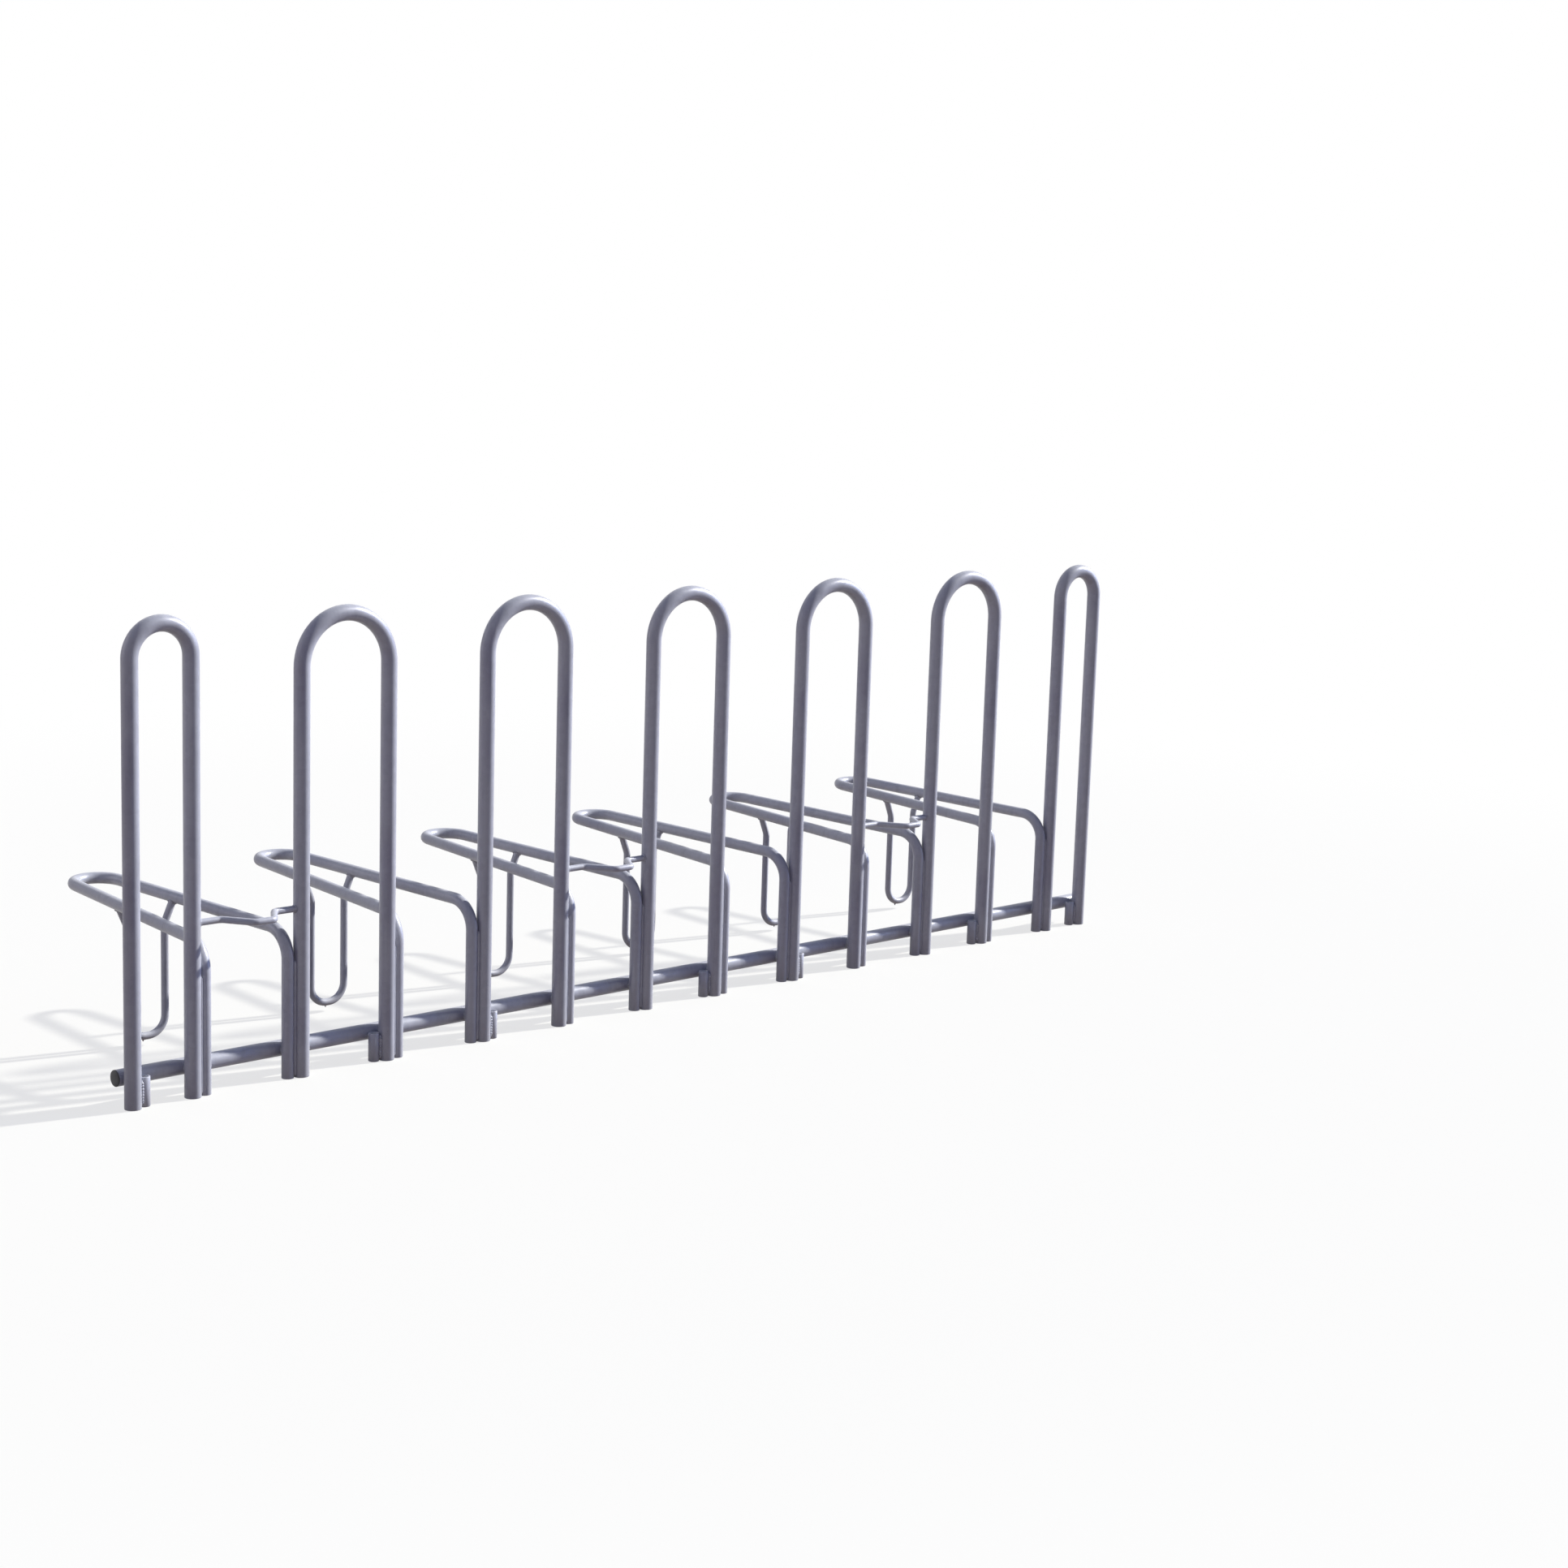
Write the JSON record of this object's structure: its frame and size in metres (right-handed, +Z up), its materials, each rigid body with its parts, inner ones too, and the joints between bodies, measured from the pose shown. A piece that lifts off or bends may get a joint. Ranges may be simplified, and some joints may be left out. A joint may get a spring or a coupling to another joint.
{
  "type": "bicycle rack",
  "caption": "Row bicycle rack of galvanised tube: tall round-topped hoops on one base rail, with low wheel loops and hanging tyre stops behind.",
  "frame": {"origin": "on the ground, under the middle of the rack's bounding box", "axes": "+X along the row from the end with the first cross bar, +Y back along the wheel loops, +Z up"},
  "size_m": [2.4856, 0.6179, 0.83],
  "materials": {
    "galvanised_steel": "dull hot-dip zinc",
    "black_plastic": "moulded plug"
  },
  "bodies": {
    "root": {"hoop_1": "galvanised_steel", "hoop_2": "galvanised_steel", "hoop_3": "galvanised_steel", "hoop_4": "galvanised_steel", "hoop_5": "galvanised_steel", "hoop_6": "galvanised_steel", "hoop_7": "galvanised_steel", "wheel_loop_1": "galvanised_steel", "wheel_loop_2": "galvanised_steel", "wheel_loop_3": "galvanised_steel", "wheel_loop_4": "galvanised_steel", "wheel_loop_5": "galvanised_steel", "wheel_loop_6": "galvanised_steel", "tyre_stop_1": "galvanised_steel", "tyre_stop_2": "galvanised_steel", "tyre_stop_3": "galvanised_steel", "tyre_stop_4": "galvanised_steel", "tyre_stop_5": "galvanised_steel", "tyre_stop_6": "galvanised_steel", "cross_bar_1": "galvanised_steel", "cross_bar_3": "galvanised_steel", "cross_bar_5": "galvanised_steel", "base_rail": "galvanised_steel", "foot_sleeve_1": "galvanised_steel", "foot_sleeve_2": "galvanised_steel", "foot_sleeve_3": "galvanised_steel", "foot_sleeve_4": "galvanised_steel", "foot_sleeve_5": "galvanised_steel", "foot_sleeve_6": "galvanised_steel", "foot_sleeve_7": "galvanised_steel", "rail_cap_left": "black_plastic", "rail_cap_right": "black_plastic"}
  },
  "joints": []
}
